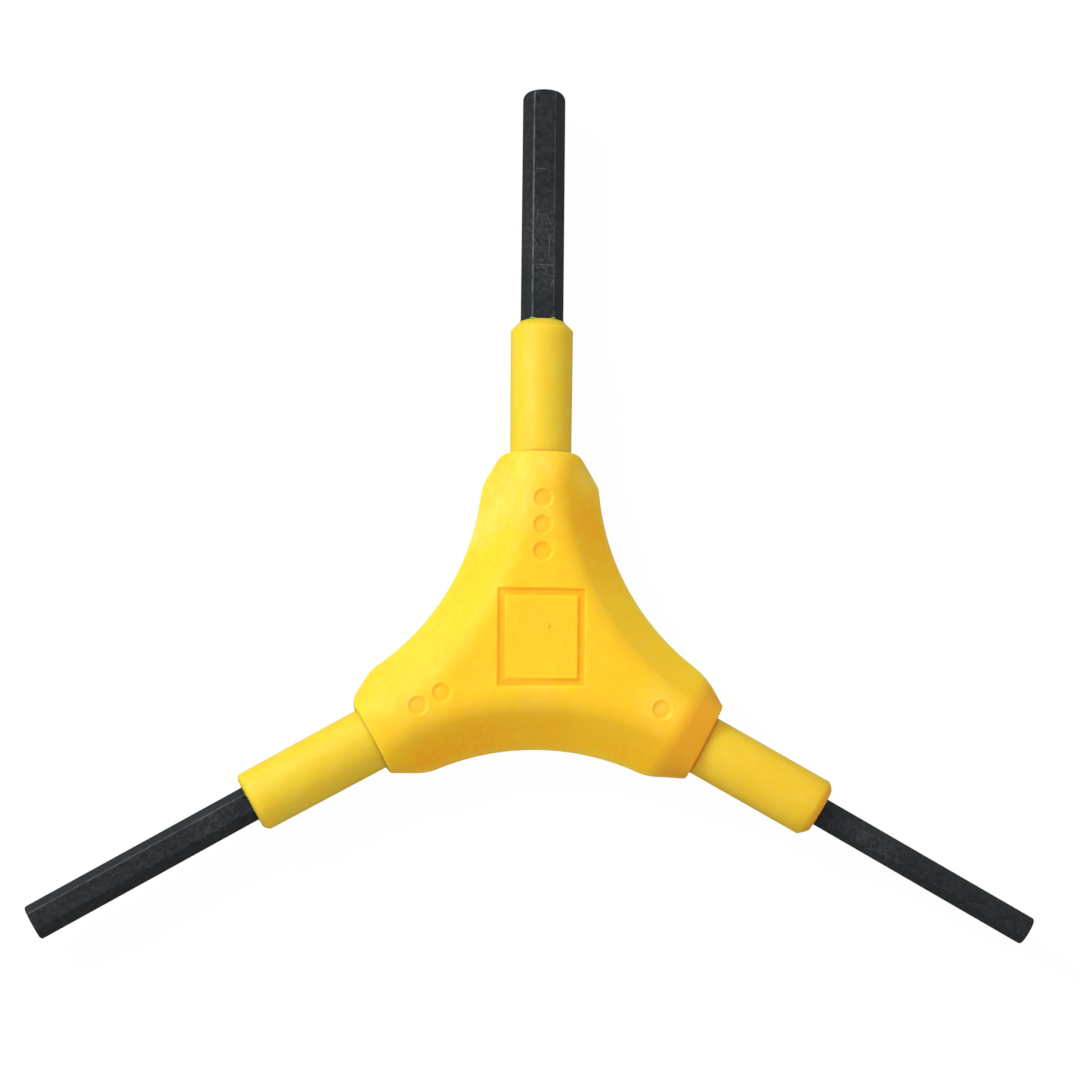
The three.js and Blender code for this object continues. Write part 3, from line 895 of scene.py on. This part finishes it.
class Shader:
    """A material with one Principled shader, and short calls that add nodes to it."""

    def __init__(self, name, gloss):
        self.material = bpy.data.materials.new(name)
        self.material.use_nodes = True
        self.tree = self.material.node_tree
        self.tree.nodes.clear()
        self.surface = self.add("ShaderNodeBsdfPrincipled")
        self.surface.inputs["Specular IOR Level"].default_value = gloss
        out = self.add("ShaderNodeOutputMaterial")
        self.link(self.surface.outputs[0], out.inputs["Surface"])
        self.place = self.add("ShaderNodeTexCoord").outputs["Object"]

    def add(self, kind, **settings):
        node = self.tree.nodes.new(kind)
        for key, value in settings.items():
            setattr(node, key, value)
        return node

    def link(self, output, socket):
        self.tree.links.new(output, socket)

    def put(self, socket, value):
        if isinstance(value, (int, float, tuple)):
            socket.default_value = value
        else:
            self.link(value, socket)

    def math(self, operation, a, b=0.0):
        node = self.add("ShaderNodeMath", operation=operation)
        self.put(node.inputs[0], a)
        self.put(node.inputs[1], b)
        return node.outputs[0]

    def times(self, a, b):
        return self.math("MULTIPLY", a, b)

    def apart(self, a, b):
        """How far two values are apart."""
        return self.math("ABSOLUTE", self.math("SUBTRACT", a, b))

    def ramp(self, value, low, high, out_low=0.0, out_high=1.0):
        node = self.add("ShaderNodeMapRange", clamp=True)
        self.put(node.inputs["Value"], value)
        ends = {"From Min": low, "From Max": high, "To Min": out_low, "To Max": out_high}
        for key, number in ends.items():
            node.inputs[key].default_value = number
        return node.outputs["Result"]

    def placed(self, middle, turn, stretch=(1, 1, 1)):
        """The place measured from a middle, along axes that are turned and stretched."""
        node = self.add("ShaderNodeMapping", vector_type="TEXTURE")
        node.inputs["Location"].default_value = tuple(v * MM for v in middle)
        node.inputs["Rotation"].default_value = (0, 0, math.radians(turn))
        node.inputs["Scale"].default_value = stretch
        self.link(self.place, node.inputs["Vector"])
        return node.outputs[0]

    def noise(self, size, detail=2.0, roughness=0.5, stretch=(1, 1, 1), turn=0.0, shift=(0, 0, 0)):
        """Noise whose features are about size millimetres, stretched along an axis."""
        node = self.add("ShaderNodeTexNoise")
        node.inputs["Scale"].default_value = 1 / (size * MM)
        node.inputs["Detail"].default_value = detail
        node.inputs["Roughness"].default_value = roughness
        self.link(self.placed(shift, turn, stretch), node.inputs["Vector"])
        return node.outputs["Fac"]

    def near(self, place, reach, full=NEAR_FULL_SHARE):
        """1 round a place, fading to 0 at a distance."""
        node = self.add("ShaderNodeVectorMath", operation="DISTANCE")
        self.link(self.place, node.inputs[0])
        node.inputs[1].default_value = tuple(v * MM for v in place)
        return self.ramp(node.outputs["Value"], reach * MM * full, reach * MM, 1, 0)

    def along(self, arm, lean=0.0):
        """The distance from the hub along an arm, or along a line that leans from it."""
        node = self.add("ShaderNodeVectorMath", operation="DOT_PRODUCT")
        self.link(self.place, node.inputs[0])
        node.inputs[1].default_value = (*turned(1, math.tan(math.radians(lean)), arm["turn"]), 0)
        return node.outputs["Value"]

    def axes(self, vector):
        node = self.add("ShaderNodeSeparateXYZ")
        self.link(vector, node.inputs[0])
        return node.outputs

    def mix(self, share, a, b):
        node = self.add("ShaderNodeMix", data_type="RGBA")
        self.put(node.inputs[0], share)
        self.put(node.inputs[MIX_A], a)
        self.put(node.inputs[MIX_B], b)
        return node.outputs[MIX_RESULT]

    def patch(self, tone, colour, grain, place, reach, strength):
        """The tone with another colour round a place, broken up by a grain."""
        share = self.times(grain, self.near(place, reach))
        return self.mix(self.times(share, strength), tone, colour)

    def glow(self):
        self.surface.inputs["Subsurface Weight"].default_value = GLOW_SHARE
        self.surface.inputs["Subsurface Radius"].default_value = GLOW_SPREAD
        self.surface.inputs["Subsurface Scale"].default_value = GLOW_REACH * MM

    def drive(self, name, value):
        self.link(value, self.surface.inputs[name])

    def bump(self, height, depth):
        node = self.add("ShaderNodeBump")
        node.inputs["Distance"].default_value = depth * MM
        self.link(height, node.inputs["Height"])
        self.drive("Normal", node.outputs[0])


# A noise is given by its size, detail and roughness. A ramp is given by two values of the noise
# and, where it doesn't run from 0 to 1, by what it turns them into.
CLOUD_NOISE = (14, 3)
CLOUD_RAMP = (0.35, 0.65)
MOTTLE_NOISE = (1.3, 4, 0.6)
MOTTLE_PALE_RAMP = (0.5, 0.72, 0, 0.35)
MOTTLE_DEEP_RAMP = (0.48, 0.3, 0, 0.4)
SPECK_NOISE = (0.3, 2)
SPECK_RAMP = (0.6, 0.8, 0, 0.3)
SHEEN_NOISE = (5, 3, 0.5)
SHEEN_RAMP = (0.3, 0.7, 0.44, 0.56)
GRAIN_NOISE = (0.45, 3)
GRAIN_DEPTH = 0.012


def plastic(name, gloss, colours, streaks, turn):
    """Moulded plastic of a cloudy tone: its plain, deep and pale colours, with mottling that is
    drawn out by a factor in the direction of a turn."""
    shader = Shader(name, gloss)
    shader.glow()
    colour, deep, pale = colours
    stretch = (streaks, 1, 1)
    tone = shader.mix(shader.ramp(shader.noise(*CLOUD_NOISE), *CLOUD_RAMP), colour, deep)
    mottle = shader.noise(*MOTTLE_NOISE, stretch, turn)
    tone = shader.mix(shader.ramp(mottle, *MOTTLE_PALE_RAMP), tone, pale)
    tone = shader.mix(shader.ramp(mottle, *MOTTLE_DEEP_RAMP), tone, deep)
    tone = shader.mix(shader.ramp(shader.noise(*SPECK_NOISE), *SPECK_RAMP), tone, pale)
    shader.drive("Roughness", shader.ramp(shader.noise(*SHEEN_NOISE, stretch, turn), *SHEEN_RAMP))
    shader.bump(shader.noise(*GRAIN_NOISE), GRAIN_DEPTH)
    return shader, tone


GRIP_GLOSS = 0.12
GRIP_STREAKS = 1.5
GRIP_STREAK_TURN = 60.0
GRIP_COLOURS = ((0.965, 0.615, 0.026, 1), (0.965, 0.58, 0.018, 1), (0.965, 0.70, 0.09, 1))
GRIP_SCUFF = (0.965, 0.73, 0.17, 1)
# Deep orange of painted shade, used on the shaded flanks and in the groove and dots
GRIP_SHADE_ORANGE = (0.985, 0.42, 0.012, 1)
GRIP_END_SHADE = (0.74, 0.36, 0.022, 1)
END_SHADE_STATIONS = (SHOULDER_STATION - 0.4, SHOULDER_STATION + 1.8)  # where the painted shade on an arm's end begins
SUNK_SHADE_ORANGE = 0.4  # painted shade: how orange the groove is
DOT_SHADE_ORANGE = 0.45  # painted shade: how orange the dots are, as a share of that
DOT_FULL_SHARE = 0.8
PARTING_PALE = 0.25  # how pale the parting line is rubbed
PARTING_PALE_REACH = 1.3
SCUFF_NOISE = (1.0, 4, 0.7)
SCUFF_STRETCH = (3.5, 1, 1)
MOTTLE_AND_SHADE_NOISE = (0.9, 3, 0.7)
PATCH_RAMP = (0.4, 0.62, 0.35, 1)
# Rubbed pale places: place, reach, strength and turn of the scuffs
SCUFFS = (
    ((-6.0, 23.0, 11.0), 7.0, 0.7, 70.0),
    ((-9.8, 18.0, 9.5), 4.5, 0.7, 70.0),
    ((-1.0, 28.0, 13.5), 5.0, 0.5, 60.0),
    ((-1.0, 20.0, 14.5), 5.0, 0.35, 70.0),
    ((7.0, 26.0, 9.0), 4.0, 0.5, 60.0),
    ((-22.0, -9.0, 13.0), 9.0, 0.3, 40.0),
    ((-17.5, -1.0, 11.0), 8.0, 0.2, 20.0),
    ((19.0, -10.5, 14.5), 5.0, 0.4, 0.0),
    ((0.0, -9.8, 14.5), 4.0, 0.25, 0.0),
)
# Deep orange places, the plastic's own orange mottling with painted shade on the flanks that
# face away from the lamp: place, reach and strength
ORANGE_MOTTLE_AND_SHADE = (
    ((7.0, 18.5, 9.0), 7.0, 0.75),
    ((9.5, 12.0, 9.0), 6.5, 0.4),
    ((15.0, -16.0, 7.0), 9.0, 0.5),
    ((0.0, -15.0, 8.0), 10.0, 0.4),
    ((-10.0, -15.0, 8.0), 8.0, 0.7),
    ((-17.0, -17.5, 7.5), 6.5, 0.9),
)


def grip_plastic():
    shader, tone = plastic("grip_plastic", GRIP_GLOSS, GRIP_COLOURS, GRIP_STREAKS, GRIP_STREAK_TURN)
    for place, reach, strength, turn in SCUFFS:
        streaks = shader.ramp(shader.noise(*SCUFF_NOISE, SCUFF_STRETCH, turn, place), *PATCH_RAMP)
        tone = shader.patch(tone, GRIP_SCUFF, streaks, place, reach, strength)
    # Painted shade: deep orange patches on the flanks away from the lamp, over the plastic's own
    # mottling
    for place, reach, strength in ORANGE_MOTTLE_AND_SHADE:
        spots = shader.ramp(shader.noise(*MOTTLE_AND_SHADE_NOISE, shift=place), *PATCH_RAMP)
        tone = shader.patch(tone, GRIP_SHADE_ORANGE, spots, place, reach, strength)
    # Painted shade: a dull orange over the end of an arm that faces away from the lamp
    for arm in ARMS:
        end = shader.ramp(shader.along(arm), *(v * MM for v in END_SHADE_STATIONS), 0, arm["end_shade"])
        tone = shader.mix(end, tone, GRIP_END_SHADE)
    x, y, z = shader.axes(shader.place)
    # Painted shade: the groove and the dots on the top are tinted deeper orange
    off_x = shader.apart(x, PANEL_SHIFT[0] * MM)
    off_y = shader.apart(y, PANEL_SHIFT[1] * MM)
    off_x = shader.math("SUBTRACT", off_x, (PANEL_WIDTH - GROOVE_WIDTH) / 2 * MM)
    off_y = shader.math("SUBTRACT", off_y, (PANEL_LENGTH - GROOVE_WIDTH) / 2 * MM)
    off = shader.math("ABSOLUTE", shader.math("MAXIMUM", off_x, off_y))
    sunk_shade = shader.ramp(off, (GROOVE_WIDTH - GROOVE_WALL) / 2 * MM, GROOVE_WIDTH / 2 * MM, 1, 0)
    for place in dot_places():
        dot = shader.near((*place, 2 * HALF_THICKNESS), DOT_DIAMETER / 2, DOT_FULL_SHARE)
        sunk_shade = shader.math("MAXIMUM", sunk_shade, shader.times(dot, DOT_SHADE_ORANGE))
    sunk_shade = shader.times(sunk_shade, shader.math("GREATER_THAN", z, HALF_THICKNESS * MM))
    tone = shader.mix(shader.times(sunk_shade, SUNK_SHADE_ORANGE), tone, GRIP_SHADE_ORANGE)
    off = shader.apart(z, HALF_THICKNESS * MM)
    rubbed = shader.ramp(off, 0, PARTING_PALE_REACH * MM, PARTING_PALE, 0)
    shader.drive("Base Color", shader.mix(rubbed, tone, GRIP_SCUFF))
    return shader.material


SLEEVE_GLOSS = 0.3
SLEEVE_STREAKS = 3.0
SLEEVE_TINTS = ((0.60, 0.026, 1), (0.57, 0.018, 1), (0.67, 0.10, 1))  # all but each arm's own red
SLEEVE_SHADE_ORANGE = (0.80, 0.24, 0.008, 1)
SEAM_SHADE_WIDTH = 0.55  # of the painted shade, a deep orange line where a sleeve meets the grip
SEAM_SHADE_BREAK_NOISE = (1.5, 3)
SEAM_SHADE_BREAK_RAMP = (0.3, 0.55, 0.5, 1)
ROOT_ORANGE_REACH = 5.0
ROOT_ORANGE_FULL_SHARE = 0.62


def sleeve_plastic(arm):
    colours = [(arm["red"], *tint) for tint in SLEEVE_TINTS]
    name = f"sleeve_{arm['size']}_plastic"
    shader, tone = plastic(name, SLEEVE_GLOSS, colours, SLEEVE_STREAKS, arm["turn"])
    # Painted shade: a broken deep orange line where the sleeve meets the grip's end
    rim = (RIM_STATION + arm["rim_shift"]) * MM
    off = shader.apart(shader.along(arm, arm["rim_lean"]), rim)
    line = shader.ramp(off, SEAM_SHADE_WIDTH * MM / 3, SEAM_SHADE_WIDTH * MM, arm["seam_shade_root_orange"][0], 0)
    broken = shader.ramp(shader.noise(*SEAM_SHADE_BREAK_NOISE), *SEAM_SHADE_BREAK_RAMP)
    tone = shader.mix(shader.times(line, broken), tone, SLEEVE_SHADE_ORANGE)
    # Deeper orange round the place where the key comes out of the sleeve
    root = (*turned(sleeve_end(arm), arm["key"][0], arm["turn"]), HALF_THICKNESS)
    share = shader.near(root, ROOT_ORANGE_REACH, ROOT_ORANGE_FULL_SHARE)
    shader.drive("Base Color", shader.mix(shader.times(share, arm["seam_shade_root_orange"][1]), tone, SLEEVE_SHADE_ORANGE))
    return shader.material


STEEL_GLOSS = 0.10
STEEL_DARK = (0.0105, 0.0140, 0.0165, 1)
STEEL_LIGHT = (0.0235, 0.029, 0.033, 1)
STEEL_SPECK = (0.09, 0.10, 0.103, 1)
STEEL_WORN = (0.15, 0.155, 0.16, 1)
STEEL_MOTTLE_NOISE = (0.9, 4, 0.65)
STEEL_MOTTLE_RAMP = (0.35, 0.68)
STEEL_SPECK_NOISE = (0.28, 2, 0.6)
STEEL_SPECK_RAMP = (0.6, 0.75, 0, 0.45)
STEEL_SHEEN_RAMP = (0.3, 0.7, 0.34, 0.5)
STEEL_GRAIN_NOISE = (0.35, 3)
STEEL_GRAIN_DEPTH = 0.008
WEAR_NOISE = (2.2, 4, 0.7)
WEAR_SHIFT = (5, 1, 2)
WEAR_RAMP = (0.36, 0.6)
WEAR_LEAST = 0.15  # wear in the gaps of the rubbed lines, as a share
HAZE_NOISE = (0.6, 4, 0.75)
HAZE_RAMP = (0.45, 0.7)
SCRATCH_STRENGTH = 0.6
# Hazy places on the keys: place, reach and strength
HAZES = (
    ((-0.3, 66.0, 10.2), 7.0, 0.5),
    ((1.0, 59.0, 10.2), 4.0, 0.5),
    ((54.0, -31.5, 9.2), 5.0, 0.4),
    ((50.0, -29.0, 9.2), 3.0, 0.4),
    ((-50.0, -29.0, 9.7), 4.0, 0.4),
)
# Fine scratches on the keys: middle, seen from above, turn, half length and half width
SCRATCHES = (
    ((-0.6, 76.4), -4.0, 1.2, 0.06),
    ((0.9, 67.8), -62.0, 1.4, 0.05),
    ((-1.0, 69.2), 84.0, 1.2, 0.05),
    ((-1.1, 64.0), -58.0, 1.8, 0.05),
    ((0.2, 60.6), -3.0, 1.8, 0.06),
    ((0.9, 63.6), 86.0, 2.2, 0.05),
    ((1.4, 57.6), 70.0, 0.9, 0.05),
    ((-61.0, -35.6), 62.0, 0.6, 0.04),
)


def steel(name, wear):
    """Black oxide on steel, mottled, specked and scratched; wear rubs it bright in broken lines."""
    shader = Shader(name, STEEL_GLOSS)
    mottle = shader.noise(*STEEL_MOTTLE_NOISE)
    tone = shader.mix(shader.ramp(mottle, *STEEL_MOTTLE_RAMP), STEEL_DARK, STEEL_LIGHT)
    specks = shader.ramp(shader.noise(*STEEL_SPECK_NOISE), *STEEL_SPECK_RAMP)
    tone = shader.mix(specks, tone, STEEL_SPECK)
    haze = shader.ramp(shader.noise(*HAZE_NOISE), *HAZE_RAMP)
    for place, reach, strength in HAZES:
        tone = shader.patch(tone, STEEL_SPECK, haze, place, reach, strength)
    for middle, turn, length, width in SCRATCHES:
        off_along, off_across, _ = shader.axes(shader.placed((*middle, 0), turn))
        off_along = shader.math("ABSOLUTE", off_along)
        off_across = shader.math("ABSOLUTE", off_across)
        along = shader.ramp(off_along, length * MM / 2, length * MM, SCRATCH_STRENGTH, 0)
        across = shader.ramp(off_across, width * MM / 2, width * MM, 1, 0)
        tone = shader.mix(shader.times(along, across), tone, STEEL_WORN)
    if wear:
        lines = shader.noise(*WEAR_NOISE, shift=WEAR_SHIFT)
        rubbed = shader.ramp(lines, *WEAR_RAMP, WEAR_LEAST * wear, wear)
        tone = shader.mix(rubbed, tone, STEEL_WORN)
    shader.drive("Base Color", tone)
    shader.drive("Roughness", shader.ramp(mottle, *STEEL_SHEEN_RAMP))
    shader.bump(shader.noise(*STEEL_GRAIN_NOISE), STEEL_GRAIN_DEPTH)
    return shader.material


STEELS = (("black_oxide_steel", 0.0), ("faintly_worn_steel", 0.35), ("worn_steel", 0.8))


make_camera()
make_lights()
make_floor()
make_grip(grip_plastic())
steels = [steel(name, wear) for name, wear in STEELS]
for arm in ARMS:
    make_sleeve(arm, sleeve_plastic(arm))
    make_key(arm, steels)
